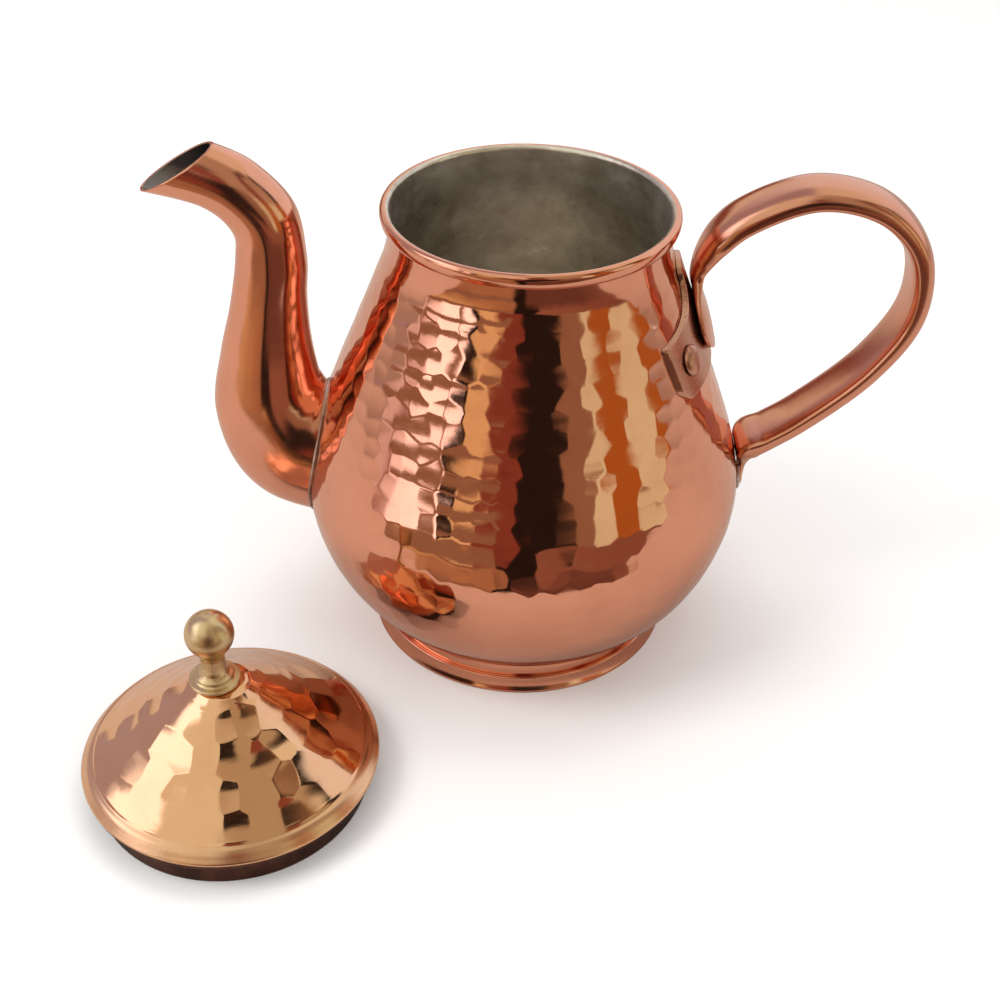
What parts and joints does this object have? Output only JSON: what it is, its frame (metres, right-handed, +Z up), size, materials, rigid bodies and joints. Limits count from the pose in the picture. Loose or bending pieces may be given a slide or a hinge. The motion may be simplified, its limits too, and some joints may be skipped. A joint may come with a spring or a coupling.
{
  "type": "coffee pot",
  "caption": "Hammered copper coffee pot with rolled rim, swan-neck spout, riveted loop handle and a loose domed lid with a brass ball knob.",
  "frame": {"origin": "centre of the foot's flat underside, on the pot's axis", "axes": "+X towards the handle, -X towards the spout, +Z up"},
  "size_m": [0.2562, 0.2056, 0.1689],
  "materials": {
    "hammered_copper": "polished hammered copper outside, tinned grey inside",
    "plain_copper": "polished smooth copper",
    "satin_copper": "satin copper",
    "golden_copper": "polished hammered golden copper",
    "turned_brass": "turned and polished brass",
    "tin_solder": "dull wiped solder",
    "rim_wire_steel": "plain iron wire"
  },
  "bodies": {
    "pot": {"body_shell": "hammered_copper", "rim_wire": "rim_wire_steel", "base_disc": "plain_copper", "spout": "plain_copper", "spout_solder": "tin_solder", "handle_strap": "satin_copper", "handle_plate": "plain_copper", "rivet_front": "plain_copper", "rivet_back": "plain_copper", "handle_tab_solder": "tin_solder"},
    "knob_ball": {"knob_ball": "turned_brass"},
    "lid": {"lid_dome": "golden_copper", "lid_collar": "plain_copper", "knob_stem": "turned_brass", "knob_washer": "turned_brass"}
  },
  "joints": [
    {"name": "lid_swing", "type": "hinge", "parent": "pot", "child": "knob_ball", "pos_m": [-0.10347, -0.10301, 0.2019], "axis": [-0.7135, 0.7007, 0], "range_deg": [0, 277.65]},
    {"name": "lid_level", "type": "hinge", "parent": "knob_ball", "child": "lid", "pos_m": [-0.09, -0.0893, 0.0588], "axis": [-0.7135, 0.7007, 0], "range_deg": [-277.65, 0]}
  ],
  "couplings": [
    {"joint": "lid_level", "follows": "lid_swing", "ratio": -1}
  ]
}
